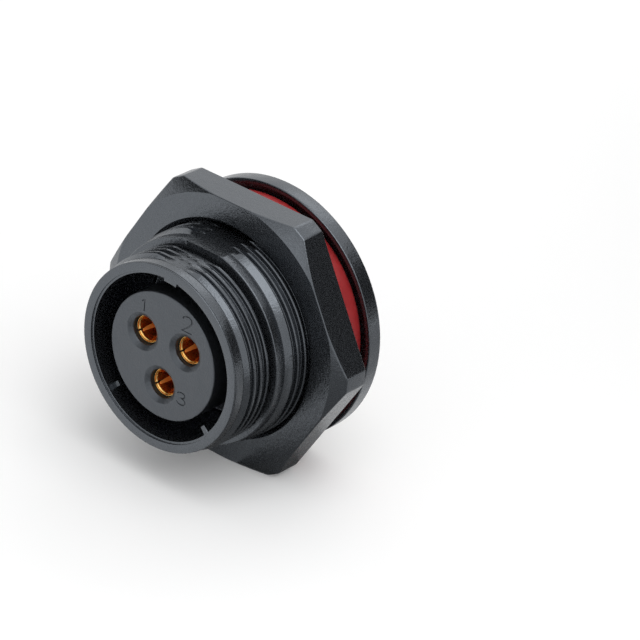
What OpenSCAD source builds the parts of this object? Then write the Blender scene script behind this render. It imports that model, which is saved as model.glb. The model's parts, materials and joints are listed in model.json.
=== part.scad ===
// Panel receptacle of a round waterproof power connector, fixed by a nut on its mating side.
// Every piece is drawn with its mating end up and its origin on the axis, in the plane of the
// flange's front lip. At the end all pieces are laid over, so that the mating end faces -Y
// and the flats of both threads face up (+Z).

/* [Coupling thread] */
// Outside diameter of the coupling thread
couple_d = 22; // [20:0.5:26]
// Length of the coupling section, from the relief groove to the rim
couple_len = 5.1; // [4:0.1:9]
// Pitch of the coupling thread
couple_pitch = 1.02; // [0.8:0.02:1.5]
// Depth of the coupling thread
couple_depth = 0.4; // [0.25:0.05:0.5]
// Depth of the flat on the coupling thread below its crest
couple_flat_cut = 0.45; // [0.3:0.05:0.8]
// Radial drop from a thread's crest to the plain band that leads into it
lead_drop = 0.35; // [0.2:0.05:0.5]
// Length of the plain band that leads into the coupling thread
couple_lead_len = 1.4; // [0.8:0.1:2]
// Length of the cone that rises from the plain band to the coupling thread
couple_cone = 0.6; // [0.3:0.1:1]
// Width of the relief groove between the two threads
relief_w = 0.45; // [0.3:0.05:1]
// Depth of the relief groove below the coupling thread's crest
relief_depth = 0.8; // [0.5:0.05:1]
// Bevel on the edges of the threaded sections
thread_bevel = 0.25; // [0.1:0.05:0.4]

/* [Mounting thread] */
// Radial step from the coupling thread's crest to the mounting thread's crest
mount_step = 1; // [0.6:0.1:2]
// Length of the mounting section, from the flange to the relief groove
mount_len = 11.5; // [10:0.1:16]
// Pitch of the mounting thread
mount_pitch = 1.18; // [0.8:0.02:1.5]
// Depth of the mounting thread
mount_depth = 0.5; // [0.3:0.05:0.6]
// Length of the plain band that leads into the mounting thread
mount_lead_len = 1.27; // [0.8:0.01:2]
// Length of the cone that rises from the plain band to the mounting thread
mount_cone = 0.9; // [0.3:0.1:1.4]
// Depth of the flat on the mounting thread below its crest
mount_flat_cut = 0.7; // [0.4:0.05:0.9]

/* [Thread form] */
// Width of a thread's crest
thread_crest = 0.26; // [0.1:0.02:0.3]
// Width of the bottom of a thread's groove
thread_root = 0.4; // [0.1:0.02:0.46]
// Distance from the end of a thread's cone to the middle of its first groove
thread_start = 0.32; // [0.2:0.02:0.6]

/* [Flange] */
// Radial reach of the flange beyond the mounting thread
flange_reach = 2.8; // [2.6:0.1:5]
// Thickness of the flange
flange_t = 1.95; // [1.6:0.05:4]
// Radial width of the raised lip round the gasket's seat
lip_w = 0.55; // [0.3:0.05:0.9]
// Depth of the gasket's seat below the lip
seat_depth = 0.55; // [0.3:0.05:0.8]
// Bevel on the flange's edges
flange_bevel = 0.15; // [0.05:0.05:0.25]

/* [Plug cavity] */
// Thickness of the rim's wall at the mating end
rim_wall = 1; // [0.85:0.01:1.1]
// Bevel on the rim's outer edge
rim_bevel = 0.08; // [0.03:0.01:0.2]
// Bevel on the rim's inner edge
mouth_bevel = 0.05; // [0.03:0.01:0.1]
// Radial width of the ledge inside the rim
ledge_w = 0.25; // [0.1:0.05:0.4]
// Depth of the ledge below the rim
ledge_depth = 0.2; // [0.15:0.05:0.6]
// Depth of the cavity that takes the plug's nose
cavity_depth = 9.5; // [8:0.1:10]
// Radial gap between the cavity's wall and the insert
plug_gap = 2.13; // [1.8:0.01:2.6]
// Thickness of the web that carries the insert
web_t = 1.6; // [1:0.1:2.4]
// Width of the main key
key_w = 1.7; // [1.4:0.1:3]
// Height of the main key above the cavity's wall
key_h = 0.2; // [0.1:0.05:0.6]
// Angle of the main key from the middle of the flats
key_angle = 4; // [-8:1:8]
// Width of each guide rib
rib_w = 0.65; // [0.5:0.05:1.2]
// Height of each guide rib above the cavity's wall
rib_h = 0.95; // [0.3:0.05:1.2]
// Depth below the rim at which the guide ribs start
rib_start = 1; // [0.6:0.1:4]
// Angle of each guide rib from the middle of the flats
rib_angle = 135; // [100:1:160]

/* [Insert] */
// Depth of the insert's face below the rim
insert_recess = 0.63; // [0.3:0.01:2]
// Bevel on the edge of the insert's face
insert_bevel = 0.15; // [0.05:0.05:0.3]
// Radial width of the insert's collar behind the web
collar_step = 1.9; // [1.5:0.1:2.2]
// Length of the insert's collar
insert_collar_len = 4.5; // [3.5:0.1:5]
// Thickness of plastic round the contacts at the insert's tail
tail_wall = 0.9; // [0.6:0.1:1.1]
// Length of the tail behind the collar
tail_len = 2.3; // [2.1:0.1:3]
// Thickness of the ring-shaped seal round the insert's collar
seal_cord = 1.2; // [0.8:0.1:1.4]
// Clearance round the seal in its groove
seal_clear = 0.05; // [0.03:0.01:0.15]
// Thickness of the retaining ring
ring_t = 2; // [1.2:0.1:2.2]
// Width of the spanner slots in the retaining ring
ring_slot_w = 1.5; // [0.8:0.1:2]
// Depth of the spanner slots
ring_slot_depth = 0.9; // [0.4:0.1:1]

/* [Contacts] */
// Diameter of the circle that the contacts stand on
contact_circle = 6.9; // [6.2:0.1:7.6]
// Outside diameter of a contact's socket
contact_d = 3.2; // [2.9:0.1:3.5]
// Bore of a contact's socket
socket_d = 2.52; // [2.3:0.02:2.6]
// Depth of a contact's socket
socket_depth = 9; // [6:0.1:10]
// Depth of the contacts below the insert's face
contact_recess = 0.9; // [0.4:0.1:2]
// Flare of the socket's mouth
mouth_flare = 0.12; // [0.06:0.02:0.24]
// Width of the slits that make the socket springy
slit_w = 0.2; // [0.15:0.05:0.6]
// Length of the slits
slit_len = 6.5; // [4:0.1:8]
// Direction of the slits, as an angle from the middle of the flats
slit_angle = 62; // [0:1:180]
// Flare of the insert's holes at its face
hole_flare = 0.5; // [0.1:0.05:0.6]
// Radial step of a contact's retaining collar
contact_step = 0.6; // [0.4:0.1:0.7]
// Distance from the insert's tail to the retaining collar's front
contact_seat = 5; // [4:0.1:6]
// Length of the retaining collar
contact_collar_len = 2.4; // [1.4:0.1:3]
// Outside diameter of a solder cup
cup_d = 3.7; // [3.4:0.1:3.9]
// Bore of a solder cup
cup_bore = 2.7; // [2.2:0.1:3]
// Depth of a solder cup
cup_depth = 4.5; // [3:0.1:6]
// Reach of the solder cups behind the insert's tail
cup_reach = 5.5; // [4:0.1:8]
// Length of the open side of a solder cup
scoop_len = 2.6; // [1:0.1:2.9]
// Height of the solder cup's open side above its axis
scoop_rise = 0.6; // [0.2:0.1:1]

/* [Hex nut] */
// Radial thickness of the nut at the middle of its flats
nut_wall = 3.1; // [2.6:0.1:6]
// Thickness of the nut
nut_t = 3.9; // [3:0.1:6]
// Depth by which the nut's corners are cut off
corner_cut = 0.48; // [0.2:0.02:1.4]
// Radial width of the flat ring left round the nut's face beyond its flats
face_ring = 0.18; // [0.05:0.01:0.4]
// Angle of the chamfer on the nut's corners
nut_chamfer = 26; // [15:1:40]
// Bevel at both ends of the nut's bore
bore_bevel = 0.6; // [0.1:0.05:0.8]

/* [Gasket] */
// Radial width of the panel gasket
gasket_w = 1.66; // [1.4:0.02:2.1]
// Thickness of the panel gasket
gasket_t = 3.4; // [1.5:0.1:4]
// Bevel on the gasket's outer edges
gasket_bevel = 0.4; // [0.1:0.05:0.5]
// Gap between the gasket and the nut, with no panel in place
nut_gap = 0.32; // [0.1:0.02:1]

/* [Clearances] */
// Radial clearance between the nut and the mounting thread
nut_clear = 0.08; // [0.03:0.01:0.1]
// Radial clearance between the gasket and the mounting thread
gasket_clear = 0.1; // [0.05:0.01:0.2]
// Radial clearance between the insert and the shell, and of the ring that holds it
insert_clear = 0.05; // [0.03:0.01:0.1]
// Radial clearance between a contact and the insert
contact_clear = 0.05; // [0.02:0.01:0.08]

/* [Hidden] */
$fn = 96;

shell_black = "#2a2c30";
insert_grey = "#34363b";
contact_gold = "#d8a540";
gasket_red = "#b8262e";
seal_black = "#17181a";

// A cut that passes a face goes this far beyond it
past = 1;
// A rib is rooted this deep in the wall that carries it
root = 0.3;
// Each contact's angle from the middle of the flats, clockwise seen from the mating end
contact_angle = [-60, 60, 180];

// Radii, from the coupling thread outwards and inwards
couple_r = couple_d / 2;
couple_lead_r = couple_r - lead_drop;
mount_r = couple_r + mount_step;
mount_lead_r = mount_r - lead_drop;
flange_r = mount_r + flange_reach;
lip_r = flange_r - lip_w;
mouth_r = couple_lead_r - rim_wall;
cavity_r = mouth_r - ledge_w;
insert_r = cavity_r - plug_gap;
collar_r = insert_r + collar_step;
rear_bore_r = collar_r + insert_clear;

// Heights along the axis, from the lip of the flange towards the mating end
relief_top = mount_len + relief_w;
rim_z = relief_top + couple_len;
mount_cone_end = mount_len - mount_lead_len - mount_cone;
couple_cone_end = rim_z - couple_lead_len - couple_cone;
cavity_floor = rim_z - cavity_depth;
web_back = cavity_floor - web_t;
insert_face = rim_z - insert_recess;
collar_back = web_back - insert_collar_len;
tail_end = collar_back - tail_len;
contact_tip = insert_face - contact_recess;
contact_collar = tail_end + contact_seat;
cup_end = tail_end - cup_reach;
gasket_top = gasket_t - seat_depth;
nut_back = gasket_top + nut_gap;

// Contacts and the holes that hold them
contact_r = contact_d / 2;
contact_hole_r = contact_r + contact_clear;
contact_collar_r = contact_r + contact_step;
contact_rear_r = contact_collar_r + contact_clear;
tail_r = contact_circle / 2 + contact_rear_r + tail_wall;

// Seal and its groove, at the middle of the insert's collar
seal_r = rear_bore_r - seal_clear - seal_cord / 2;
seal_z = (web_back + collar_back) / 2;
groove_r = seal_r - seal_cord / 2 - seal_clear;
groove_w = seal_cord + 4 * seal_clear;

// Nut
nut_r = mount_r + nut_wall;
nut_corner_r = nut_r / cos(30) - corner_cut;
nut_face_r = nut_r + face_ring;
nut_bore_r = mount_r + nut_clear;

// Lays a piece over from its drawing position to its place
module lay() rotate([90, 0, 0]) children();

// Turns a piece from the middle of the flats by an angle, clockwise seen from the mating end
module clockwise(angle) rotate([0, 0, -angle]) children();

// A body of revolution from a list of [radius, height] points
module turned(points) rotate_extrude() polygon(points);

// A plain tube between two heights
module tube(outer, inner, low, high) {
    turned([[inner, low], [outer, low], [outer, high], [inner, high]]);
}

// A cylinder hole or peg between two heights
module rod(radius, low, high) translate([0, 0, low]) cylinder(r = radius, h = high - low);

// A cone between two heights
module cone(low_r, high_r, low, high) {
    translate([0, 0, low]) cylinder(r1 = low_r, r2 = high_r, h = high - low);
}

// Grooves of a thread from its cone back to its end, drawn as rings one pitch apart in place of a helix
module thread_grooves(crest_r, pitch, depth, cone_end, thread_end) {
    half_top = (pitch - thread_crest) / 2;
    half_root = thread_root / 2;
    for (middle = [cone_end - thread_start : -pitch : thread_end + half_top]) {
        turned([
            [crest_r - depth, middle - half_root],
            [crest_r, middle - half_top],
            [crest_r + past, middle - half_top],
            [crest_r + past, middle + half_top],
            [crest_r, middle + half_top],
            [crest_r - depth, middle + half_root],
        ]);
    }
}

// What a flat takes off a thread: all beyond a distance from the axis, between two heights
module beyond_flat(thread_r, distance, low, high) {
    intersection() {
        rod(thread_r + gasket_clear, low, high);
        translate([-thread_r, distance, low]) cube([2 * thread_r, thread_r, high - low]);
    }
}

// A rib on the cavity's wall, pointing to the axis
module wall_rib(width, height, low, high) {
    intersection() {
        translate([-width / 2, 0, low]) cube([width, mouth_r + root, high - low]);
        tube(mouth_r + root, cavity_r - height, low, high);
    }
}

// Shell: flange, both threaded sections, the plug's cavity and the bore behind the web
module shell_outline() {
    turned([
        [rear_bore_r, -flange_t],
        [flange_r - flange_bevel, -flange_t],
        [flange_r, -flange_t + flange_bevel],
        [flange_r, -flange_bevel],
        [flange_r - flange_bevel, 0],
        [lip_r, 0],
        [lip_r, -seat_depth],
        [mount_r, -seat_depth],
        [mount_r, mount_cone_end],
        [mount_lead_r, mount_cone_end + mount_cone],
        [mount_lead_r, mount_len - thread_bevel],
        [mount_lead_r - thread_bevel, mount_len],
        [couple_r - relief_depth, mount_len],
        [couple_r - relief_depth, relief_top],
        [couple_r - thread_bevel, relief_top],
        [couple_r, relief_top + thread_bevel],
        [couple_r, couple_cone_end],
        [couple_lead_r, couple_cone_end + couple_cone],
        [couple_lead_r, rim_z - rim_bevel],
        [couple_lead_r - rim_bevel, rim_z],
        [mouth_r + mouth_bevel, rim_z],
        [mouth_r, rim_z - mouth_bevel],
        [mouth_r, rim_z - ledge_depth],
        [cavity_r, rim_z - ledge_depth],
        [cavity_r, cavity_floor],
        [insert_r + insert_clear, cavity_floor],
        [insert_r + insert_clear, web_back],
        [rear_bore_r, web_back],
    ]);
}

module shell() {
    color(shell_black) lay() {
        difference() {
            shell_outline();
            thread_grooves(mount_r, mount_pitch, mount_depth, mount_cone_end, 0);
            thread_grooves(couple_r, couple_pitch, couple_depth, couple_cone_end, relief_top);
            beyond_flat(mount_r, mount_r - mount_flat_cut, -seat_depth, mount_len);
            beyond_flat(couple_r, couple_r - couple_flat_cut, mount_len, couple_cone_end + couple_cone);
        }
        clockwise(key_angle) wall_rib(key_w, key_h, cavity_floor, rim_z);
        for (side = [-1, 1]) {
            clockwise(side * rib_angle) wall_rib(rib_w, rib_h, cavity_floor, rim_z - rib_start);
        }
    }
}

// Insert: the plastic core that carries the contacts
module insert_outline() {
    turned([
        [0, tail_end],
        [tail_r, tail_end],
        [tail_r, collar_back],
        [collar_r, collar_back],
        [collar_r, seal_z - groove_w / 2],
        [groove_r, seal_z - groove_w / 2],
        [groove_r, seal_z + groove_w / 2],
        [collar_r, seal_z + groove_w / 2],
        [collar_r, web_back],
        [insert_r, web_back],
        [insert_r, insert_face - insert_bevel],
        [insert_r - insert_bevel, insert_face],
        [0, insert_face],
    ]);
}

// Stepped hole for one contact, flared at the insert's face
module contact_hole() {
    rod(contact_hole_r, contact_collar - past, insert_face + past);
    rod(contact_rear_r, tail_end - past, contact_collar);
    cone(contact_hole_r, contact_hole_r + hole_flare, insert_face - hole_flare, insert_face);
}

module at_contact(number) {
    clockwise(contact_angle[number - 1]) translate([0, contact_circle / 2, 0]) children();
}

module insert() {
    color(insert_grey) lay() difference() {
        insert_outline();
        for (number = [1 : 3]) at_contact(number) contact_hole();
    }
}

// Seal: a round-section ring in the collar's groove
module insert_seal() {
    color(seal_black) lay() {
        rotate_extrude() translate([seal_r, seal_z]) circle(d = seal_cord);
    }
}

// Retaining ring: holds the insert against the web, turned in by its spanner slots
module retaining_ring() {
    color(shell_black) lay() difference() {
        tube(rear_bore_r - insert_clear, tail_r + insert_clear, collar_back - ring_t, collar_back);
        translate([-flange_r, -ring_slot_w / 2, collar_back - ring_t - past]) {
            cube([2 * flange_r, ring_slot_w, ring_slot_depth + past]);
        }
    }
}

// Contact: a turned socket with two slits, a retaining collar and a solder cup behind
module contact_outline() {
    turned([
        [0, cup_end],
        [cup_d / 2, cup_end],
        [cup_d / 2, contact_collar - contact_collar_len],
        [contact_collar_r, contact_collar - contact_collar_len],
        [contact_collar_r, contact_collar],
        [contact_r, contact_collar],
        [contact_r, contact_tip],
        [0, contact_tip],
    ]);
}

module contact(number) {
    color(contact_gold) lay() at_contact(number) difference() {
        contact_outline();
        rod(socket_d / 2, contact_tip - socket_depth, contact_tip + past);
        cone(socket_d / 2, socket_d / 2 + mouth_flare, contact_tip - mouth_flare, contact_tip);
        clockwise(slit_angle - contact_angle[number - 1]) {
            translate([-slit_w / 2, -contact_d, contact_tip - slit_len]) {
                cube([slit_w, 2 * contact_d, slit_len + past]);
            }
        }
        rod(cup_bore / 2, cup_end - past, cup_end + cup_depth);
        translate([-cup_d, scoop_rise, cup_end - past]) cube([2 * cup_d, cup_d, scoop_len + past]);
    }
}

module contact_1() contact(1);
module contact_2() contact(2);
module contact_3() contact(3);

// Nut: a hexagon with its corners cut off and a chamfer round its front face
module hexagon(flat_r, low, high) {
    translate([0, 0, low]) cylinder(r = flat_r / cos(30), h = high - low, $fn = 6);
}

module hex_nut() {
    nut_front = nut_back + nut_t;
    chamfer_r = nut_face_r + nut_t / tan(nut_chamfer);
    color(shell_black) lay() difference() {
        intersection() {
            hexagon(nut_r, nut_back, nut_front);
            rotate([0, 0, 30]) hexagon(nut_corner_r, nut_back, nut_front);
            cone(chamfer_r, nut_face_r, nut_back, nut_front);
        }
        rod(nut_bore_r, nut_back - past, nut_front + past);
        cone(nut_bore_r + bore_bevel, nut_bore_r, nut_back, nut_back + bore_bevel);
        cone(nut_bore_r, nut_bore_r + bore_bevel, nut_front - bore_bevel, nut_front);
    }
}

// Gasket: a flat ring in the flange's seat
module panel_gasket() {
    inner = mount_r + gasket_clear;
    outer = inner + gasket_w;
    color(gasket_red) lay() turned([
        [inner, -seat_depth],
        [outer - gasket_bevel, -seat_depth],
        [outer, -seat_depth + gasket_bevel],
        [outer, gasket_top - gasket_bevel],
        [outer - gasket_bevel, gasket_top],
        [inner, gasket_top],
    ]);
}

shell();
insert();
insert_seal();
retaining_ring();
contact_1();
contact_2();
contact_3();
hex_nut();
panel_gasket();
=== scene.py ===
"""Looks of a round panel receptacle: its meshes with cut threads, their materials, the light and the camera.

Lengths are in millimetres and are turned into metres when a mesh is made. The axis of the connector lies
along Y, with the mating end towards -Y. Angles are in degrees from the middle of the flats (+Z), clockwise
seen from the mating end. The stage, that is the floor, the cards and the lights, is in metres.
"""
import json
import math

import bmesh
import bpy
from mathutils import Matrix, Vector


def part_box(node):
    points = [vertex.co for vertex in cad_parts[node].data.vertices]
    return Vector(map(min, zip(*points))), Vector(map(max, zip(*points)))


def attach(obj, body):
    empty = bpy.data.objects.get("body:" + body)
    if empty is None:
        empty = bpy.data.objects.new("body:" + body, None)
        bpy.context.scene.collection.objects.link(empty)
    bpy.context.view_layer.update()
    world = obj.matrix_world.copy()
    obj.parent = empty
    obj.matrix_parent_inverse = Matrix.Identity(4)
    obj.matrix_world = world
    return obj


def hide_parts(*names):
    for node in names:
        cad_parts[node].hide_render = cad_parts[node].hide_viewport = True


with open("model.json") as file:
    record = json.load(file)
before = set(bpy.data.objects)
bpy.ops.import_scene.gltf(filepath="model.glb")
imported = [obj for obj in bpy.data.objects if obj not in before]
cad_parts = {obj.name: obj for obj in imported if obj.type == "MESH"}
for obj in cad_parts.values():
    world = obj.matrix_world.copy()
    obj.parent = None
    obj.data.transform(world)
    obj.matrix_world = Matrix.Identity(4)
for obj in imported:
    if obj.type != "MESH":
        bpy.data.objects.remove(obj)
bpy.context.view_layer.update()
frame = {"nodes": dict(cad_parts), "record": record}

MM = 0.001


def box_mm(node):
    """Lowest and highest corner of a CAD node, in millimetres."""
    low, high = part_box(node)
    return low / MM, high / MM


def mount_size(name):
    """Sizes of one mount in the record."""
    return next(m["dims"] for m in frame["record"]["mounts"] if m["name"] == name)


# Sizes that the frame gives
shell_low, shell_high = box_mm("shell")
insert_low, insert_high = box_mm("insert")
nut_low, nut_high = box_mm("hex_nut")
gasket_low, gasket_high = box_mm("panel_gasket")
contact_low, contact_high = box_mm("contact_2")
RIM = shell_low.y
BACK = shell_high.y
FLANGE_R = shell_high.x
COUPLE_R = mount_size("coupling_thread")["r_mm"]
INSERT_FACE = insert_low.y
TAIL_END = insert_high.y
COLLAR_R = insert_high.x
NUT_FRONT = nut_low.y
NUT_BACK = nut_high.y
NUT_FLAT_R = nut_high.z
NUT_CORNER_R = nut_high.x
GASKET_FRONT = gasket_low.y
GASKET_BACK = gasket_high.y
GASKET_R = gasket_high.x
TIP = contact_low.y
CONTACT_END = contact_high.y
SOCKET_R = mount_size("socket_1")["r_mm"]
SOCKET_LEN = mount_size("socket_1")["length_mm"]
CUP_BORE_R = mount_size("solder_cup_1")["r_mm"]
CUP_DEPTH = mount_size("solder_cup_1")["length_mm"]
FLOOR_Z = min(nut_low.z, shell_low.z)

# Eases that many edges share, and the steps that an eased edge has
FINE_EASE = 0.05
SOFT_EASE = 0.1
EASE_STEPS = 4
# Points closer than this are one, and edges shorter than this are dropped
WELD = 1e-4
SHORTEST = 1e-5

# Shell sizes, from the threads to the flange and then into the cavity
MOUNT_R = COUPLE_R + 1.0
LEAD_DROP = 0.35
LEAD_LEN = 1.4
MOUNT_LEAD_LEN = 1.27
COUPLE_LEN = 5.1
RELIEF_W = 0.45
RELIEF_R = COUPLE_R - 0.8
COUPLE_LEAD_R = COUPLE_R - LEAD_DROP
MOUNT_LEAD_R = MOUNT_R - LEAD_DROP
COUPLE_CONE = 0.6
MOUNT_CONE = 0.9
COUPLE_FLAT = COUPLE_R - 0.45
MOUNT_FLAT = MOUNT_R - 0.7
LIP_R = FLANGE_R - 0.55
SEAT = 0.55
MOUTH_R = COUPLE_LEAD_R - 1.0
LEDGE_DEPTH = 0.2
CAVITY_R = MOUTH_R - 0.25
CAVITY_FLOOR = RIM + 9.5
WEB_BACK = CAVITY_FLOOR + 1.6
INSERT_R = CAVITY_R - 2.13
WEB_R = INSERT_R + 0.05
REAR_BORE_R = COLLAR_R + 0.05
RELIEF_FRONT = RIM + COUPLE_LEN
MOUNT_FRONT = RELIEF_FRONT + RELIEF_W
COUPLE_CONE_BACK = RIM + LEAD_LEN + COUPLE_CONE
MOUNT_CONE_BACK = MOUNT_FRONT + MOUNT_LEAD_LEN + MOUNT_CONE
# Main key and guide ribs on the cavity's wall; a rib's front end rises within the slope
KEY_W = 1.7
KEY_H = 0.2
KEY_ANGLE = 4.0
RIB_W = 0.65
RIB_H = 0.95
RIB_START = RIM + 1.0
RIB_SLOPE = 0.03
RIB_ANGLE = 135.0
# Fine line left by the mould: its width, depth and ease, and how far it lies behind the rim
LINE_W = 0.1
LINE_DEPTH = 0.07
LINE_EASE = 0.02
LINE_PLACE = 0.19
# Eases of the shell's other edges
FLANGE_BACK_EASE = 0.25
FLANGE_FRONT_EASE = 0.16
LIP_EASE = 0.07
MOUNT_LEAD_EASE = 0.14
RIM_EASE = 0.08
MOUTH_EASE = 0.05
LEDGE_EASE = 0.03
CAVITY_EASE = 0.25
REAR_BORE_EASE = 0.15
# Columns of the shell's mesh: their steps over the flats and elsewhere, how far the close ones reach to each
# side, and the step across an edge of the key or a rib
FLATS_STEP = 0.5
ROUND_STEP = 1.22
FLATS_REACH = 26.0
EDGE_STEP = 0.12
# A flat cuts nothing beyond this angle
FLAT_LIMIT = 60.0

# Threads: the first crest's place behind the rim, and the length in which a thread runs in
COUPLE_PITCH = 1.02
MOUNT_PITCH = 1.18
COUPLE_DEPTH = 0.45
MOUNT_DEPTH = 0.55
COUPLE_START = 2.68
MOUNT_START = 8.55
THREAD_FADE = 0.3
# Share of the pitch behind the crest's middle, and share of the depth reached there
THREAD_FORM = [
    (-0.17, 0.2), (-0.08, 0.0), (0.08, 0.0), (0.12, 0.1),
    (0.18, 0.94), (0.21, 1.0), (0.77, 1.0), (0.8, 0.94),
]
THREAD_CLOSE = (THREAD_FORM[0][0] + 1, THREAD_FORM[0][1])
# Turns of the mesh past each end of a thread, which fall together there
SPARE_TURNS = 3

# Nut sizes
NUT_FACE_R = NUT_FLAT_R + 0.18
NUT_CHAMFER = 26.0
NUT_BORE_R = MOUNT_R + 0.08
NUT_BORE_BEVEL = 0.45
NUT_EDGE = 0.14
NUT_SIDE_EASE = 0.2
NUT_FACE_GAP = 0.01
# Flats and cut corners, the angle from one to the next, and the cuts of the mesh along each
NUT_SIDES = 12
NUT_SIDE_ANGLE = 360 / NUT_SIDES
NUT_FLAT_CUTS = 56
NUT_CORNER_CUTS = 8

# Insert sizes
COLLAR_BACK = WEB_BACK + 4.5
TAIL_R = 6.6
TAIL_EASE = 0.08
GROOVE_R = 7.92
GROOVE_W = 1.4
INSERT_EASE = 0.16
INSERT_EDGE_W = 0.2
HOLE_R = 1.65
HOLE_FLARE_R = 2.22
HOLE_FLARE_DEPTH = 0.4
HOLE_EDGE_R = HOLE_FLARE_R - 0.03
HOLE_EDGE_EASE = 0.06
REAR_HOLE_R = 2.25
HOLE_STEP = TAIL_END - 5.0
CONTACT_CIRCLE_R = 3.45
CONTACT_ANGLES = (-60.0, 60.0, 180.0)
INSERT_SEGMENTS = 160
HOLE_SEGMENTS = 64

# Contact numbers: the engraved stroke, how sharply it may turn, and each line within a box of one by one
NUMERAL_DEPTH = 0.1
NUMERAL_STROKE = 0.1
NUMERAL_EASE_W = 0.04
NUMERAL_EASE_D = 0.03
NUMERAL_MITRE = 0.6
NUMERAL_LINES = {
    "1": [(0.0, 0.76), (0.6, 1.0), (0.6, 0.0)],
    "2": [
        (0.0, 0.76), (0.1, 0.9), (0.3, 0.99), (0.6, 1.0), (0.86, 0.9), (0.95, 0.74), (0.88, 0.57),
        (0.62, 0.36), (0.0, 0.0), (1.0, 0.0),
    ],
    "3": [
        (0.02, 0.84), (0.2, 0.97), (0.5, 1.0), (0.8, 0.94), (0.9, 0.77), (0.78, 0.6), (0.4, 0.53),
        (0.82, 0.46), (1.0, 0.27), (0.88, 0.08), (0.5, 0.0), (0.18, 0.03), (0.0, 0.17),
    ],
}
# Place of each number's middle across and up, its height and its width
NUMERALS = {"1": (-3.1, 4.9, 1.42, 0.6), "2": (2.97, 5.1, 1.8, 1.35), "3": (3.08, -3.79, 1.45, 1.2)}

# Contact sizes
CONTACT_R = HOLE_R - 0.05
STOP_R = contact_high.x - CONTACT_CIRCLE_R * math.sin(math.radians(CONTACT_ANGLES[1]))
STOP_LEN = 2.4
STOP_EASE = 0.08
CUP_R = 1.85
CUP_EASE = 0.06
BORE_EASE = 0.2
# Corners of the socket's mouth from outside in: distance inside the contact's wall, depth and ease
MOUTH_FORM = [(0.0, 0.14, 0.05), (0.05, 0.0, 0.02), (0.11, 0.0, 0.02), (0.15, 0.15, 0.03), (0.24, 0.24, 0.03)]
MOUTH_DEPTH = 0.9
SOCKET_FLOOR = TIP + SOCKET_LEN + BORE_EASE
SLIT_W = 0.2
SLIT_LEN = 6.5
SLIT_ANGLE = 62.0
SCOOP_LEN = 2.6
SCOOP_RISE = 0.6
SCOOP_HALF = 2.0
# How far a cut reaches to each side of a contact, and past its end
CUT_REACH = 3.0
CUT_PAST = 1.0
CONTACT_SEGMENTS = 96
# Thin strip on the socket's wall, whose bright copper tone is a painted highlight streak: its place round the
# axis, its width at some depths, how far it stands out of the wall and lies in it, and the cuts of its mesh
# across
GLINT_ANGLE = 236.0
GLINT_FORM = [(0.5, 0.26), (1.2, 0.4), (2.4, 0.55), (6.0, 0.55)]
GLINT_PROUD = 0.02
GLINT_SUNK = 0.06
GLINT_CUTS = 12

# Gasket sizes; its outline starts and ends on its inner wall
GASKET_BORE_R = MOUNT_R + 0.1
GASKET_START = -1.0
GASKET_BACK_EASE = 1.4
GASKET_FRONT_EASE = 1.2
GASKET_BORE_BACK_EASE = 0.15
GASKET_BORE_FRONT_EASE = 0.2
GASKET_SEGMENTS = 220


# Meshes

def polar(radius, angle, y):
    """Point at a radius and an angle from the middle of the flats, at y along the axis."""
    turn = math.radians(angle)
    return Vector((radius * math.sin(turn), y, radius * math.cos(turn)))


def rounded(corners):
    """Outline of (r, y) points through (r, y, ease) corners, each eased over that length on both sides."""
    outline = []
    last = len(corners) - 1
    for i, (r, y, ease) in enumerate(corners):
        corner = Vector((r, y))
        if ease == 0 or i in (0, last):
            outline.append((r, y))
            continue
        back = (Vector(corners[i - 1][:2]) - corner).normalized() * ease
        ahead = (Vector(corners[i + 1][:2]) - corner).normalized() * ease
        for k in range(EASE_STEPS + 1):
            t = k / EASE_STEPS
            point = corner + back * (1 - t) ** 2 + ahead * t ** 2
            outline.append((point.x, point.y))
    return outline


def lathe_rows(outline, segments, centre=(0, 0)):
    """Rows of a body turned about an axis along Y through centre (x, z)."""
    shift = Vector((centre[0], 0, centre[1]))
    return [[polar(r, 360 * k / segments, y) + shift for k in range(segments)] for r, y in outline]


def add_strips(bm, rows, closed_rows=False, seam_shift=0):
    """Joins rows of points, each closed round the axis, with quads.

    Closed rows join the last row to the first. A seam shift joins helical rows to the next turn.
    """
    made = [[bm.verts.new(point) for point in row] for row in rows]
    count = len(made[0])
    pairs = len(made) if closed_rows else len(made) - 1
    for i in range(pairs):
        low, high = made[i], made[(i + 1) % len(made)]
        for j in range(count):
            if j + 1 < count:
                bm.faces.new((low[j], low[j + 1], high[j + 1], high[j]))
            elif i + 1 + seam_shift < len(made):
                bm.faces.new((low[j], made[i + seam_shift][0], made[i + 1 + seam_shift][0], high[j]))
    return made


def ring_edges(loop):
    """Edges round a loop of vertices."""
    found = []
    for i, vert in enumerate(loop):
        ahead = loop[(i + 1) % len(loop)]
        found.append(next(e for e in vert.link_edges if e.other_vert(vert) is ahead))
    return found


def clean(bm):
    """Welds a mesh's seams, drops what has no size and turns its faces outward."""
    bmesh.ops.remove_doubles(bm, verts=bm.verts, dist=WELD)
    bmesh.ops.dissolve_degenerate(bm, edges=bm.edges, dist=SHORTEST)
    bmesh.ops.recalc_face_normals(bm, faces=bm.faces)


def add_object(name, data):
    """Object of that name and data, in the scene."""
    made = bpy.data.objects.new(name, data)
    bpy.context.scene.collection.objects.link(made)
    return made


def make_piece(name, bm, material, body, node=None, sharp=32.0):
    """Turns a mesh in millimetres into a piece that rides on a body and may stand for a CAD node."""
    clean(bm)
    bmesh.ops.scale(bm, vec=(MM, MM, MM), verts=bm.verts)
    limit = math.radians(sharp)
    for face in bm.faces:
        face.smooth = True
    for edge in bm.edges:
        edge.smooth = edge.calc_face_angle(0.0) < limit
    mesh = bpy.data.meshes.new(name)
    bm.to_mesh(mesh)
    bm.free()
    piece = add_object(name, mesh)
    mesh.materials.append(material)
    weighted = piece.modifiers.new("weighted_normals", "WEIGHTED_NORMAL")
    weighted.keep_sharp = True
    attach(piece, body)
    if node:
        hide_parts(node)


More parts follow.
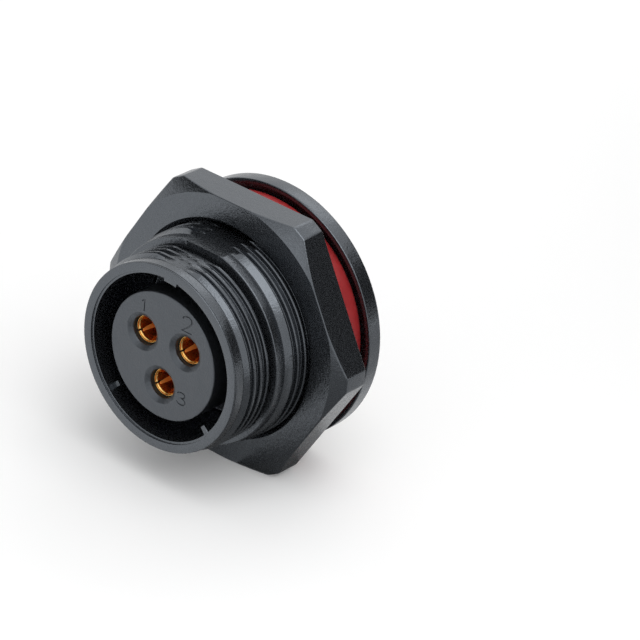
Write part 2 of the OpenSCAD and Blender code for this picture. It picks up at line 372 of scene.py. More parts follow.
# Materials

def set_inputs(node, values):
    """Sets inputs of a node by their names."""
    for name, value in values.items():
        node.inputs[name].default_value = value


def new_material(name):
    """Material with an empty node tree, its shader and its object coordinates."""
    material = bpy.data.materials.new(name)
    material.use_nodes = True
    tree = material.node_tree
    tree.nodes.clear()
    shader = tree.nodes.new("ShaderNodeBsdfPrincipled")
    output = tree.nodes.new("ShaderNodeOutputMaterial")
    coords = tree.nodes.new("ShaderNodeTexCoord")
    tree.links.new(shader.outputs["BSDF"], output.inputs["Surface"])
    return material, tree, shader, coords.outputs["Object"]


def noise(tree, coords, feature, detail=2.0):
    """Noise whose lumps are about one feature (mm) across."""
    node = tree.nodes.new("ShaderNodeTexNoise")
    set_inputs(node, {"Scale": 1 / (feature * MM), "Detail": detail})
    tree.links.new(coords, node.inputs["Vector"])
    return node.outputs["Fac"]


def mapped(tree, value, low, high, start=0.0, end=1.0):
    """Maps a value that runs from start to end to a range of numbers."""
    node = tree.nodes.new("ShaderNodeMapRange")
    set_inputs(node, {"From Min": start, "From Max": end, "To Min": low, "To Max": high})
    tree.links.new(value, node.inputs["Value"])
    return node.outputs["Result"]


def spread(tree, value, low, high):
    """Maps noise, most of which lies about its middle, to a range of numbers."""
    return mapped(tree, value, low, high, start=0.3, end=0.7)


def two_tone(tree, value, dark, light):
    """Colour between two tones, by noise."""
    node = tree.nodes.new("ShaderNodeValToRGB")
    for stop, place, tone in zip(node.color_ramp.elements, (0.35, 0.65), (dark, light)):
        stop.position = place
        stop.color = (*tone, 1)
    tree.links.new(value, node.inputs["Fac"])
    return node.outputs["Color"]


def bump(tree, shader, heights):
    """Adds heights, given as (value, depth in mm), to the shader's normal."""
    normal = None
    for value, depth in heights:
        node = tree.nodes.new("ShaderNodeBump")
        set_inputs(node, {"Strength": 1.0, "Distance": depth * MM})
        tree.links.new(value, node.inputs["Height"])
        if normal:
            tree.links.new(normal, node.inputs["Normal"])
        normal = node.outputs["Normal"]
    tree.links.new(normal, shader.inputs["Normal"])


def moulded_plastic(name, dark, light, rough, gloss, grain):
    """Filled nylon or rubber with a fine moulded grain (mm deep) and faint flow mottling."""
    material, tree, shader, coords = new_material(name)
    fine = noise(tree, coords, feature=0.2)
    flow = noise(tree, coords, feature=1.6)
    uneven = 0.06
    tree.links.new(two_tone(tree, flow, dark, light), shader.inputs["Base Color"])
    tree.links.new(spread(tree, fine, rough - uneven, rough + uneven), shader.inputs["Roughness"])
    set_inputs(shader, {"IOR": 1.65, "Specular IOR Level": gloss, "Specular Tint": (0.82, 0.9, 1.0, 1)})
    bump(tree, shader, [(fine, grain), (flow, 2 * grain)])
    return material


def silicone(name, dark, light):
    """Soft satin silicone with a faint bloom and a slightly uneven skin."""
    material, tree, shader, coords = new_material(name)
    skin = noise(tree, coords, feature=0.5, detail=3.0)
    skin_depth = 0.006
    bloom = noise(tree, coords, feature=2.5)
    tree.links.new(two_tone(tree, bloom, dark, light), shader.inputs["Base Color"])
    tree.links.new(spread(tree, skin, 0.4, 0.55), shader.inputs["Roughness"])
    set_inputs(shader, {
        "Specular IOR Level": 0.45, "Subsurface Weight": 0.1, "Subsurface Radius": (1.0, 0.2, 0.1),
        "Subsurface Scale": 0.4 * MM,
    })
    bump(tree, shader, [(skin, skin_depth)])
    return material


def tool_rings(tree, coords, feature):
    """Fine rings that a turning tool leaves round a contact, about one feature (mm) wide."""
    rings = tree.nodes.new("ShaderNodeTexWave")
    rings.wave_type = "BANDS"
    rings.bands_direction = "Y"
    set_inputs(rings, {"Scale": 1 / (feature * MM), "Distortion": 1.5})
    tree.links.new(coords, rings.inputs["Vector"])
    return rings.outputs["Fac"]


def inside_socket(tree, coords):
    """One between the mouth and the floor of a socket, by the place along the axis, and nought elsewhere; it
    masks the painted orange glow in the socket.
    """
    place = tree.nodes.new("ShaderNodeSeparateXYZ")
    tree.links.new(coords, place.inputs[0])
    inside = tree.nodes.new("ShaderNodeMath")
    inside.operation = "MULTIPLY"
    mouth_fade = (0.28, 0.4)
    floor_fade = (SOCKET_LEN + 0.4, SOCKET_LEN + 0.2)
    for k, (clear, full) in enumerate((mouth_fade, floor_fade)):
        depth = mapped(tree, place.outputs["Y"], 0.0, 1.0, (TIP + clear) * MM, (TIP + full) * MM)
        tree.links.new(depth, inside.inputs[k])
    return inside.outputs[0]


def turned_gold(name):
    """Gold-plated turned brass with fine tool rings, and in the socket a painted orange glow, deeper orange
    and a little matte, that stands in for light reflected round the bore.
    """
    material, tree, shader, coords = new_material(name)
    tint = noise(tree, coords, feature=0.8)
    inside = inside_socket(tree, coords)
    # Mix of the gold with the painted orange glow in the socket
    plating_and_glow = tree.nodes.new("ShaderNodeMix")
    plating_and_glow.data_type = "RGBA"
    # Sockets of a mix of colours: its factor, its two colours, the gold and the painted orange glow, and its
    # result
    factor, outer, inner = (plating_and_glow.inputs[k] for k in (0, 6, 7))
    colour = plating_and_glow.outputs[2]
    tree.links.new(inside, factor)
    tree.links.new(two_tone(tree, tint, (0.80, 0.47, 0.13), (0.90, 0.60, 0.22)), outer)
    # Painted orange glow inside the socket, standing in for light reflected round the bore
    inner.default_value = (0.95, 0.36, 0.07, 1)
    tree.links.new(colour, shader.inputs["Base Color"])
    tree.links.new(spread(tree, tint, 0.16, 0.26), shader.inputs["Roughness"])
    tree.links.new(mapped(tree, inside, 1.0, 0.95), shader.inputs["Metallic"])
    ring_depth = 0.002
    bump(tree, shader, [(tool_rings(tree, coords, feature=0.9), ring_depth)])
    return material


def copper_leaf(name):
    """Bright orange, dull and barely metallic copper tone of the strip in a socket: a painted highlight
    streak.
    """
    material, tree, shader, coords = new_material(name)
    tint = noise(tree, coords, feature=0.5)
    tree.links.new(two_tone(tree, tint, (0.95, 0.33, 0.07), (1.0, 0.42, 0.1)), shader.inputs["Base Color"])
    tree.links.new(spread(tree, tint, 0.38, 0.48), shader.inputs["Roughness"])
    set_inputs(shader, {"Metallic": 0.1})
    return material


NYLON = {
    "dark": (0.0055, 0.006, 0.007), "light": (0.0075, 0.008, 0.009), "rough": 0.27, "gloss": 1.0,
    "grain": 0.022,
}
SHELL = moulded_plastic("shell_nylon", **NYLON)
NUT = moulded_plastic("nut_nylon", **NYLON)
INSERT = moulded_plastic(
    "insert_nylon", (0.008, 0.009, 0.0105), (0.011, 0.012, 0.0135), rough=0.4, gloss=0.82, grain=0.05)
RUBBER = moulded_plastic(
    "seal_rubber", (0.008, 0.008, 0.009), (0.012, 0.012, 0.013), rough=0.6, gloss=0.4, grain=0.006)
GASKET = silicone("red_silicone", (0.27, 0.015, 0.017), (0.325, 0.022, 0.024))
GOLD = turned_gold("turned_gold")
# Painted highlight streak: the bright copper tone of the strip in each socket
PAINTED_GLINT = copper_leaf("copper_leaf")


# Shell

def at_flat(radius, flat, angle):
    """Radius cut back by a flat."""
    off = (angle + 180) % 360 - 180
    if abs(off) > FLAT_LIMIT:
        return radius
    return min(radius, flat / math.cos(math.radians(off)))


def thread_radius(crest_r, flat, depth, start, pitch, front, y, angle):
    """Radius of a right-hand thread running in behind front, with a crest at start over the flats' middle."""
    share = ((y - RIM - start) / pitch - angle / 360) % 1
    phase = share - 1 if share > THREAD_CLOSE[0] else share
    for (a, drop_a), (b, drop_b) in zip(THREAD_FORM, THREAD_FORM[1:] + [THREAD_CLOSE]):
        if a <= phase <= b:
            drop = drop_a + (drop_b - drop_a) * (phase - a) / (b - a)
            break
    run_in = min(1.0, max(0.0, (y - front) / THREAD_FADE))
    return at_flat(crest_r - depth * drop * run_in, flat, angle)


def half_angle(width):
    """Half the angle that a rib of that width takes on the cavity's wall."""
    return math.degrees(math.asin(width / 2 / CAVITY_R))


def shell_angles():
    """Angles of the shell's columns: close together over the flats and at the edges of the key and ribs."""
    close = int(FLATS_REACH / FLATS_STEP)
    wide = int((360 - 2 * FLATS_REACH) / ROUND_STEP)
    angles = [FLATS_STEP * k for k in range(-close, close + 1)]
    angles += [FLATS_REACH + ROUND_STEP * k for k in range(1, wide + 1)]
    for middle, width in ((KEY_ANGLE, KEY_W), (RIB_ANGLE, RIB_W), (-RIB_ANGLE, RIB_W)):
        for side in (-1, 1):
            angles += [middle + side * (half_angle(width) + step) for step in (-EDGE_STEP, EDGE_STEP)]
    return sorted(a % 360 for a in angles)


ANGLES = shell_angles()


def raised(angle, middle, width):
    """Whether an angle lies on a rib of that width."""
    return abs((angle - middle + 180) % 360 - 180) < half_angle(width)


def cavity_wall(radius, y, angle):
    """Radius inside the cavity, with the key and the ribs standing on its wall."""
    if raised(angle, KEY_ANGLE, KEY_W) and radius < MOUTH_R + 2 * MOUTH_EASE:
        return min(radius, CAVITY_R - KEY_H + max(0.0, radius - MOUTH_R))
    if y > RIB_START and any(raised(angle, side * RIB_ANGLE, RIB_W) for side in (-1, 1)):
        return min(radius, CAVITY_R - RIB_H)
    return radius


def ring_rows(outline, shape):
    """Rows of points round the axis, for an outline whose radius a shape function changes."""
    return [[polar(shape(r, y, a), a, y) for a in ANGLES] for r, y in outline]


def thread_rows(thread, back):
    """Helical rows of a thread from its front to back, cut off square at both."""
    *_, start, pitch, front = thread
    first = int((front - RIM - start) / pitch) - SPARE_TURNS
    last = int((back - RIM - start) / pitch) + SPARE_TURNS
    rows = []
    for turn in range(first, last):
        for share, _ in THREAD_FORM:
            row = []
            for a in ANGLES:
                y = min(back, max(front, RIM + start + pitch * (turn + share + a / 360)))
                row.append(polar(thread_radius(*thread, y, a), a, y))
            rows.append(row)
    return rows


def mould_line(radius, y):
    """Corners of a fine groove round the shell, from behind to in front."""
    half = LINE_W / 2
    form = ((0.0, half), (LINE_DEPTH, half / 2), (LINE_DEPTH, -half / 2), (0.0, -half))
    return [(radius - depth, y + behind, LINE_EASE) for depth, behind in form]


def add_thread(bm, outline, shape, thread):
    """Adds an outline's rows, which end behind a thread at its crest, and then the thread."""
    back = outline[-1][1]
    rows = ring_rows(outline[:-1], shape)
    rows.append([polar(thread_radius(*thread, back, a), a, back) for a in ANGLES])
    add_strips(bm, rows)
    add_strips(bm, thread_rows(thread, back), seam_shift=len(THREAD_FORM))


def build_shell():
    """The moulded shell as one closed skin, from the back of the flange forward and down into the cavity."""
    mount_thread = (MOUNT_R, MOUNT_FLAT, MOUNT_DEPTH, MOUNT_START, MOUNT_PITCH, MOUNT_CONE_BACK)
    couple_thread = (COUPLE_R, COUPLE_FLAT, COUPLE_DEPTH, COUPLE_START, COUPLE_PITCH, COUPLE_CONE_BACK)
    bm = bmesh.new()
    flange = rounded([
        (REAR_BORE_R, BACK, 0), (FLANGE_R, BACK, FLANGE_BACK_EASE), (FLANGE_R, 0, FLANGE_FRONT_EASE),
        (LIP_R, 0, LIP_EASE), (LIP_R, SEAT, LIP_EASE), (MOUNT_R, SEAT, 0),
    ])
    add_thread(bm, flange, lambda r, y, a: r, mount_thread)
    between = rounded([
        (MOUNT_R, MOUNT_CONE_BACK, 0), *mould_line(MOUNT_LEAD_R, MOUNT_CONE_BACK - MOUNT_CONE),
        (MOUNT_LEAD_R, MOUNT_FRONT, MOUNT_LEAD_EASE), (RELIEF_R, MOUNT_FRONT, FINE_EASE),
        (RELIEF_R, RELIEF_FRONT, FINE_EASE), (COUPLE_R, RELIEF_FRONT, 0),
    ])
    add_thread(bm, between, lambda r, y, a: at_flat(r, MOUNT_FLAT, a), couple_thread)
    lead = rounded([
        (COUPLE_R, COUPLE_CONE_BACK, 0), *mould_line(COUPLE_LEAD_R, COUPLE_CONE_BACK - COUPLE_CONE),
        *mould_line(COUPLE_LEAD_R, RIM + LINE_PLACE), (COUPLE_LEAD_R, RIM, RIM_EASE), (MOUTH_R, RIM, 0),
    ])
    lead_end = RIM + LEAD_LEN
    add_strips(bm, ring_rows(lead[:-1], lambda r, y, a: at_flat(r, COUPLE_FLAT, a) if y > lead_end else r))
    ledge = RIM + LEDGE_DEPTH
    cavity = rounded([
        (COUPLE_LEAD_R - RIM_EASE, RIM, 0), (MOUTH_R, RIM, MOUTH_EASE), (MOUTH_R, ledge, LEDGE_EASE),
        (CAVITY_R, ledge, FINE_EASE), (CAVITY_R, RIB_START - RIB_SLOPE, 0),
        (CAVITY_R, RIB_START + RIB_SLOPE, 0), (CAVITY_R, CAVITY_FLOOR, CAVITY_EASE),
        (WEB_R, CAVITY_FLOOR, SOFT_EASE), (WEB_R, WEB_BACK, FINE_EASE),
        (REAR_BORE_R, WEB_BACK, REAR_BORE_EASE), (REAR_BORE_R, BACK, 0),
    ])
    add_strips(bm, ring_rows(cavity, cavity_wall))
    make_piece("receptacle_shell", bm, SHELL, "receptacle", "shell")


# Nut

def nut_outline():
    """Points round the nut with their outward normals: flats, cut corners and eased edges between them."""
    turn = math.radians(NUT_SIDE_ANGLE)
    half_flat = (NUT_CORNER_R - NUT_FLAT_R * math.cos(turn)) / math.sin(turn)
    half_corner = (NUT_FLAT_R - NUT_CORNER_R * math.cos(turn)) / math.sin(turn)
    flat = (NUT_FLAT_R, half_flat - NUT_SIDE_EASE, NUT_FLAT_CUTS)
    cut_corner = (NUT_CORNER_R, half_corner - NUT_SIDE_EASE, NUT_CORNER_CUTS)
    sides = [(NUT_SIDE_ANGLE * k, *(cut_corner if k % 2 else flat)) for k in range(NUT_SIDES)]
    points = []
    for k, (angle, distance, half, cuts) in enumerate(sides):
        normal = polar(1, angle, 0)
        along = polar(1, angle + 90, 0)
        for i in range(cuts + 1):
            points.append((normal * distance + along * half * (2 * i / cuts - 1), normal))
        next_angle, next_distance, next_half, _ = sides[(k + 1) % NUT_SIDES]
        start = normal * distance + along * half
        end = polar(1, next_angle, 0) * next_distance - polar(1, next_angle + 90, 0) * next_half
        corner = normal * distance + along * (half + NUT_SIDE_EASE)
        for i in range(1, EASE_STEPS):
            t = i / EASE_STEPS
            place = start * (1 - t) ** 2 + corner * 2 * t * (1 - t) + end * t ** 2
            points.append((place, polar(1, angle + NUT_SIDE_ANGLE * t, 0)))
    return points


def nut_face(radius):
    """Where the nut's front surface lies along the axis at a radius: flat, then falling back as a cone."""
    return NUT_FRONT + max(0.0, radius - NUT_FACE_R) * math.tan(math.radians(NUT_CHAMFER))


def build_nut():
    """Hexagon nut with cut corners, a conical chamfer on its face and a plain bore."""
    outline = nut_outline()
    turns = [math.radians(90 * k / EASE_STEPS) for k in range(EASE_STEPS + 1)]

    def bore_row(radius, y):
        return [Vector((p.x, 0, p.z)).normalized() * radius + Vector((0, y, 0)) for p, _ in outline]

    def back_row(turn):
        shift = NUT_EDGE * (1 - math.cos(turn))
        rise = Vector((0, NUT_BACK - NUT_EDGE * (1 - math.sin(turn)), 0))
        return [p - n * shift + rise for p, n in outline]

    def front_row(turn):
        row = []
        for p, n in outline:
            place = p - n * NUT_EDGE * (1 - math.cos(turn))
            row.append(place + Vector((0, nut_face(place.length) + NUT_EDGE * (1 - math.sin(turn)), 0)))
        return row

    def face_ring(radius):
        row = []
        for p, n in outline:
            inner = p - n * NUT_EDGE
            reach = min(radius, inner.length - NUT_FACE_GAP)
            row.append(inner.normalized() * reach + Vector((0, nut_face(reach), 0)))
        return row

    rows = [bore_row(NUT_BORE_R, NUT_FRONT + NUT_BORE_BEVEL), bore_row(NUT_BORE_R, NUT_BACK - NUT_BORE_BEVEL)]
    rows.append(bore_row(NUT_BORE_R + NUT_BORE_BEVEL, NUT_BACK))
    rows += [back_row(turn) for turn in reversed(turns)]
    rows += [front_row(turn) for turn in turns]
    rows.append(face_ring(NUT_FACE_R))
    rows.append(bore_row(NUT_BORE_R + NUT_BORE_BEVEL, NUT_FRONT))
    bm = bmesh.new()
    add_strips(bm, rows, closed_rows=True)
    make_piece("mounting_nut", bm, NUT, "nut", "hex_nut", sharp=21.0)


# Insert

def numeral_shape(text, x, z, height, width):
    """Flat mesh of one number, drawn as a thin stroke, at its place on the insert's face."""
    line = []
    for across, up in NUMERAL_LINES[text]:
        line.append(Vector((x + (across - 0.5) * width, INSERT_FACE, z + (up - 0.5) * height)))
    ways = [(b - a).normalized() for a, b in zip(line, line[1:])]
    shape = bmesh.new()
    last = None
    for k, point in enumerate(line):
        before = ways[max(k - 1, 0)].cross(Vector((0, 1, 0)))
        after = ways[min(k, len(ways) - 1)].cross(Vector((0, 1, 0)))
        side = (before + after).normalized()
        side *= NUMERAL_STROKE / 2 / max(side.dot(before), NUMERAL_MITRE)
        pair = [shape.verts.new(point - side), shape.verts.new(point + side)]
        if last:
            shape.faces.new((last[0], last[1], pair[1], pair[0]))
        last = pair
    return shape


def engrave(bm, shape):
    """Adds a number's floor and eased walls to a mesh, and gives the edges where its walls meet the face."""
    deep = Vector((0, NUMERAL_DEPTH, 0))
    floor = {v: bm.verts.new(v.co + deep) for v in shape.verts}
    for face in shape.faces:
        bm.faces.new([floor[v] for v in face.verts])
    border = [e for e in shape.edges if len(e.link_faces) == 1]
    outward = {}
    for edge in border:
        a, b = edge.verts
        side = (b.co - a.co).cross(Vector((0, 1, 0))).normalized()
        if side.dot(edge.link_faces[0].calc_center_median() - a.co) > 0:
            side = -side
        for vert in (a, b):
            outward.setdefault(vert, Vector((0, 0, 0)))
            outward[vert] += side
    wall = {v: bm.verts.new(v.co + Vector((0, NUMERAL_EASE_D, 0))) for v in outward}
    mouth = {v: bm.verts.new(v.co + side.normalized() * NUMERAL_EASE_W) for v, side in outward.items()}
    edges = []
    for edge in border:
        a, b = edge.verts
        bm.faces.new((floor[a], floor[b], wall[b], wall[a]))
        bm.faces.new((wall[a], wall[b], mouth[b], mouth[a]))
        edges.append(bm.edges.get((mouth[a], mouth[b])))
    shape.free()
    return edges


def build_insert():
    """Plastic core with a collar, a seal groove, stepped contact holes and engraved contact numbers."""
    groove = (WEB_BACK + COLLAR_BACK) / 2
    groove_back = groove + GROOVE_W / 2
    groove_front = groove - GROOVE_W / 2
    outside = rounded([
        (TAIL_R - SOFT_EASE, TAIL_END, 0), (TAIL_R, TAIL_END, TAIL_EASE), (TAIL_R, COLLAR_BACK, FINE_EASE),
        (COLLAR_R, COLLAR_BACK, SOFT_EASE), (COLLAR_R, groove_back, SOFT_EASE),
        (GROOVE_R, groove_back, SOFT_EASE), (GROOVE_R, groove_front, SOFT_EASE),
        (COLLAR_R, groove_front, SOFT_EASE), (COLLAR_R, WEB_BACK, SOFT_EASE), (INSERT_R, WEB_BACK, FINE_EASE),
        (INSERT_R, INSERT_FACE, INSERT_EASE), (INSERT_R - INSERT_EDGE_W, INSERT_FACE, 0),
    ])
    hole = rounded([
        (HOLE_FLARE_R + FINE_EASE, INSERT_FACE, 0), (HOLE_EDGE_R, INSERT_FACE, HOLE_EDGE_EASE),
        (HOLE_R, INSERT_FACE + HOLE_FLARE_DEPTH, SOFT_EASE), (HOLE_R, HOLE_STEP, 0),
        (REAR_HOLE_R, HOLE_STEP, 0), (REAR_HOLE_R, TAIL_END, 0),
    ])
    bm = bmesh.new()
    made = add_strips(bm, lathe_rows(outside, INSERT_SEGMENTS))
    front_edges = ring_edges(made[-1])
    back_edges = ring_edges(made[0])
    for angle in CONTACT_ANGLES:
        place = polar(CONTACT_CIRCLE_R, angle, 0)
        hole_rows = add_strips(bm, lathe_rows(hole, HOLE_SEGMENTS, (place.x, place.z)))
        front_edges += ring_edges(hole_rows[0])
        back_edges += ring_edges(hole_rows[-1])
    for text, place in NUMERALS.items():
        front_edges += engrave(bm, numeral_shape(text, *place))
    for edges in (front_edges, back_edges):
        bmesh.ops.triangle_fill(bm, use_beauty=True, use_dissolve=False, edges=edges)
    make_piece("contact_insert", bm, INSERT, "receptacle", "insert")


# Contacts

def box_cut(middle, across, along, half_across, half_along, front, back):
    """Mesh of a box between two places on the axis, with its sides along two directions."""
    corners = []
    for y in (front, back):
        for a, b in ((-1, -1), (1, -1), (1, 1), (-1, 1)):
            corners.append(middle + across * half_across * a + along * half_along * b + Vector((0, y, 0)))
    faces = [(0, 1, 2, 3), (7, 6, 5, 4), (0, 4, 5, 1), (1, 5, 6, 2), (2, 6, 7, 3), (3, 7, 4, 0)]
    mesh = bpy.data.meshes.new("cutter")
    mesh.from_pydata(corners, [], faces)
    return mesh


def cut_out(bm, cutters):
    """The mesh with other closed meshes cut out of it."""
    clean(bm)
    mesh = bpy.data.meshes.new("blank")
    bm.to_mesh(mesh)
    bm.free()
    blank = add_object("blank", mesh)
    used = [blank]
    for cutter in cutters:
        tool = add_object("cutter", cutter)
        used.append(tool)
        cut = blank.modifiers.new("cut", "BOOLEAN")
        cut.operation = "DIFFERENCE"
        cut.solver = "EXACT"
        cut.object = tool
    bpy.context.view_layer.update()
    result = bmesh.new()
    result.from_mesh(blank.evaluated_get(bpy.context.evaluated_depsgraph_get()).to_mesh())
    for done in used:
        bpy.data.objects.remove(done)
    return result


def build_contact(number, angle):
    """Turned socket with a thin lip, a slit across it, a retaining collar and an open solder cup behind."""
    cup_floor = CONTACT_END - CUP_DEPTH
    stop_back = HOLE_STEP + STOP_LEN
    outline = rounded([
        (0, cup_floor, 0), (CUP_BORE_R, cup_floor, BORE_EASE), (CUP_BORE_R, CONTACT_END, CUP_EASE),
        (CUP_R, CONTACT_END, CUP_EASE), (CUP_R, stop_back, 0), (STOP_R, stop_back, STOP_EASE),
        (STOP_R, HOLE_STEP, STOP_EASE), (CONTACT_R, HOLE_STEP, 0),
        *((CONTACT_R - inside, TIP + depth, ease) for inside, depth, ease in MOUTH_FORM),
        (SOCKET_R, TIP + MOUTH_DEPTH, SOFT_EASE), (SOCKET_R, SOCKET_FLOOR, BORE_EASE), (0, SOCKET_FLOOR, 0),
    ])
    middle = polar(CONTACT_CIRCLE_R, angle, 0)
    bm = bmesh.new()
    add_strips(bm, lathe_rows(outline, CONTACT_SEGMENTS, (middle.x, middle.z)))
    along = polar(1, SLIT_ANGLE, 0)
    across = polar(1, SLIT_ANGLE + 90, 0)
    slit = box_cut(middle, across, along, SLIT_W / 2, CUT_REACH, TIP - CUT_PAST, TIP + SLIT_LEN)
    outward = polar(1, angle, 0)
    scoop = box_cut(
        middle + outward * (SCOOP_RISE + SCOOP_HALF), polar(1, angle + 90, 0), outward, CUT_REACH, SCOOP_HALF,
        CONTACT_END - SCOOP_LEN, CONTACT_END + CUT_PAST)
    node = "contact_%d" % number
    make_piece("gold_" + node, cut_out(bm, [slit, scoop]), GOLD, "receptacle", node)


def build_highlight_strip(number, angle):
    """Thin strip, narrow in front, on the wall of a contact's socket, which carries a painted highlight
    streak.
    """
    middle = polar(CONTACT_CIRCLE_R, angle, 0)
    rows = []
    for depth, width in GLINT_FORM:
        reach = math.degrees(width / 2 / SOCKET_R)
        turns = [GLINT_ANGLE + reach * (2 * k / GLINT_CUTS - 1) for k in range(GLINT_CUTS + 1)]
        loop = [polar(SOCKET_R - GLINT_PROUD, turn, TIP + depth) for turn in turns]
        loop += [polar(SOCKET_R + GLINT_SUNK, turn, TIP + depth) for turn in reversed(turns)]
        rows.append([middle + point for point in loop])
    bm = bmesh.new()
    made = add_strips(bm, rows)
    bm.faces.new(made[0])
    bm.faces.new(made[-1])
    make_piece("spring_leaf_%d" % number, bm, PAINTED_GLINT, "receptacle")


# Gasket

def build_gasket():
    """Silicone ring in the flange's seat, with soft edges."""
    outline = rounded([
        (GASKET_BORE_R, GASKET_START, 0), (GASKET_BORE_R, GASKET_BACK, GASKET_BORE_BACK_EASE),
        (GASKET_R, GASKET_BACK, GASKET_BACK_EASE), (GASKET_R, GASKET_FRONT, GASKET_FRONT_EASE),
        (GASKET_BORE_R, GASKET_FRONT, GASKET_BORE_FRONT_EASE), (GASKET_BORE_R, GASKET_START, 0),
    ])
    bm = bmesh.new()
    add_strips(bm, lathe_rows(outline, GASKET_SEGMENTS))
    make_piece("gasket_ring", bm, GASKET, "receptacle", "panel_gasket", sharp=60.0)


build_shell()
build_nut()
build_insert()
build_gasket()
for contact_number, contact_angle in enumerate(CONTACT_ANGLES, 1):
    build_contact(contact_number, contact_angle)
    build_highlight_strip(contact_number, contact_angle)

# Solids that are right as they are and only take a finish
for node, finish in (("retaining_ring", SHELL), ("insert_seal", RUBBER)):
    solid = frame["nodes"][node]
    solid.data.materials.clear()
    solid.data.materials.append(finish)


# Floor, light and camera

WHITE = (1, 1, 1, 1)


def direction(azimuth, elevation):
    """Unit vector away from the part. Azimuth 0 is the mating side, 90 is +X."""
    a = math.radians(azimuth)
    e = math.radians(elevation)
    return Vector((math.sin(a) * math.cos(e), -math.cos(a) * math.cos(e), math.sin(e)))


def white_seen(tree, lit, white, share):
    """Mixes a share of a white shader into a lit one, for what the camera, gloss and glass see of it."""
    paths = tree.nodes.new("ShaderNodeLightPath")
    seen = paths.outputs["Is Camera Ray"]
    for name in ("Is Glossy Ray", "Is Transmission Ray"):
        most = tree.nodes.new("ShaderNodeMath")
        most.operation = "MAXIMUM"
        tree.links.new(seen, most.inputs[0])
        tree.links.new(paths.outputs[name], most.inputs[1])
        seen = most.outputs[0]
    part = tree.nodes.new("ShaderNodeMath")
    part.operation = "MULTIPLY"
    part.inputs[1].default_value = share
    tree.links.new(seen, part.inputs[0])
    mix = tree.nodes.new("ShaderNodeMixShader")
    tree.links.new(part.outputs[0], mix.inputs[0])
    tree.links.new(lit.outputs[0], mix.inputs[1])
    tree.links.new(white.outputs[0], mix.inputs[2])
    return mix.outputs[0]


def make_floor(half, shade, white_share):
    """Wide pale floor under the nut's flat and the flange."""
    mesh = bpy.data.meshes.new("floor")
    z = FLOOR_Z * MM
    corners = [(-half, -half, z), (half, -half, z), (half, half, z), (-half, half, z)]
    mesh.from_pydata(corners, [], [(0, 1, 2, 3)])
    floor = add_object("floor", mesh)
    material = bpy.data.materials.new("floor_white")
    material.use_nodes = True
    tree = material.node_tree
    tree.nodes.clear()
    lit = tree.nodes.new("ShaderNodeBsdfDiffuse")
    set_inputs(lit, {"Color": (shade, shade, shade, 1)})
    white = tree.nodes.new("ShaderNodeEmission")
    set_inputs(white, {"Color": WHITE, "Strength": 1.0})
    output = tree.nodes.new("ShaderNodeOutputMaterial")
    tree.links.new(white_seen(tree, lit, white, white_share), output.inputs["Surface"])
    mesh.materials.append(material)


def make_world(strength):
    """Soft even light from all round, seen as white by the camera and by gloss."""
    world = bpy.data.worlds.new("studio")
    bpy.context.scene.world = world
    world.use_nodes = True
    tree = world.node_tree
    tree.nodes.clear()
    soft = tree.nodes.new("ShaderNodeBackground")
    set_inputs(soft, {"Color": WHITE, "Strength": strength})
    white = tree.nodes.new("ShaderNodeBackground")
    set_inputs(white, {"Color": WHITE, "Strength": 1.0})
    output = tree.nodes.new("ShaderNodeOutputWorld")
    tree.links.new(white_seen(tree, soft, white, 1.0), output.inputs["Surface"])


def make_softbox(name, azimuth, elevation, distance, width, height, radiance):
    """Area light of a given radiance, aimed at the part."""
    light = bpy.data.lights.new(name, "AREA")
    light.shape = "RECTANGLE"
    light.size = width
    light.size_y = height
    light.energy = radiance * math.pi * width * height
    lamp = add_object(name, light)
    lamp.location = distance * direction(azimuth, elevation)
    lamp.rotation_euler = (-lamp.location).to_track_quat("-Z", "Y").to_euler()


def make_card(name, corners, shade, cuts_light):
    """Dark card that the camera doesn't see; it may cut light off as a flag, or only show in gloss as painted
    shade.
    """
    mesh = bpy.data.meshes.new(name)
    mesh.from_pydata(corners, [], [(0, 1, 2, 3)])
    card = add_object(name, mesh)
    card.visible_camera = False
    card.visible_shadow = cuts_light
    card.visible_diffuse = cuts_light
    material = bpy.data.materials.new(name)
    material.use_nodes = True
    shader = material.node_tree.nodes["Principled BSDF"]
    set_inputs(shader, {"Base Color": (shade, shade, shade, 1), "Roughness": 0.9})
    mesh.materials.append(material)


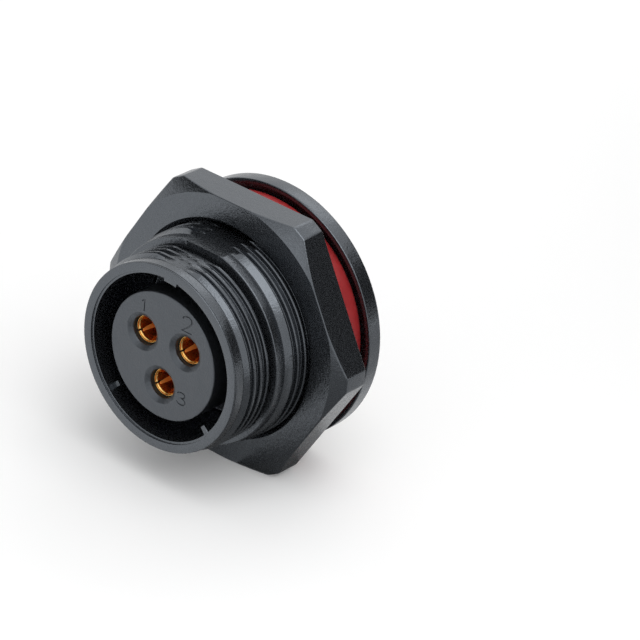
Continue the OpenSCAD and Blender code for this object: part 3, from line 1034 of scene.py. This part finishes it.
def make_flag(name, azimuth, distance, width, low, high):
    """Dark card standing beside the part, facing it, between two heights above the floor."""
    shade = 0.02
    out = direction(azimuth, 0) * distance
    along = direction(azimuth + 90, 0) * width / 2
    bottom, top = (Vector((0, 0, FLOOR_Z * MM + z)) for z in (low, high))
    corners = [out - along + bottom, out + along + bottom, out + along + top, out - along + top]
    make_card(name, corners, shade, True)


def make_gloss_shade_card(name, left, right, front, back, shade):
    """Dark card lying just above the floor beside the part, seen only in gloss: painted shade in the part's
    reflections of the floor where the floor lies in shadow.
    """
    lift = 0.0002
    z = FLOOR_Z * MM + lift
    make_card(name, [(left, front, z), (right, front, z), (right, back, z), (left, back, z)], shade, False)


def make_camera(azimuth, elevation, roll, distance, aim, lens):
    """Camera turned about its line of sight by the roll, at a distance from the point it aims at."""
    away = direction(azimuth, elevation)
    data = bpy.data.cameras.new("camera")
    data.sensor_width = 36.0
    data.lens = lens
    data.clip_start = 0.01
    data.clip_end = 20.0
    camera = add_object("camera", data)
    level = (-away).to_track_quat("-Z", "Y").to_matrix().to_4x4()
    turn = Matrix.Rotation(math.radians(roll), 4, "Z")
    camera.matrix_world = Matrix.Translation(aim + away * distance) @ level @ turn
    bpy.context.scene.camera = camera


make_floor(half=2.0, shade=0.95, white_share=0.1)
make_world(strength=0.85)
make_softbox("top_softbox", azimuth=72, elevation=62, distance=0.5, width=0.42, height=0.46, radiance=2.0)
make_softbox("back_softbox", azimuth=195, elevation=46, distance=0.5, width=0.26, height=0.16, radiance=1.1)
make_softbox("front_softbox", azimuth=-4, elevation=12, distance=0.5, width=0.16, height=0.12, radiance=0.8)
make_flag("right_flag", azimuth=136, distance=0.12, width=0.2, low=0.011, high=0.1)
make_flag("front_flag", azimuth=-52, distance=0.14, width=0.13, low=0.04, high=0.16)
# Painted shade: dark cards seen only in gloss, where the floor near the part lies in its shadow
make_gloss_shade_card("low_card", left=0.004, right=0.09, front=-0.09, back=-0.002, shade=0.25)
make_gloss_shade_card("under_card", left=-0.012, right=0.02, front=-0.002, back=0.003, shade=0.5)
make_gloss_shade_card("right_card", left=0.02, right=0.09, front=-0.002, back=0.06, shade=0.55)
make_camera(
    azimuth=36.785, elevation=28.383, roll=6.505, distance=410.92 * MM,
    aim=Vector((7.010, 1.048, 1.195)) * MM, lens=215.13)
bpy.context.scene.view_settings.view_transform = "Standard"
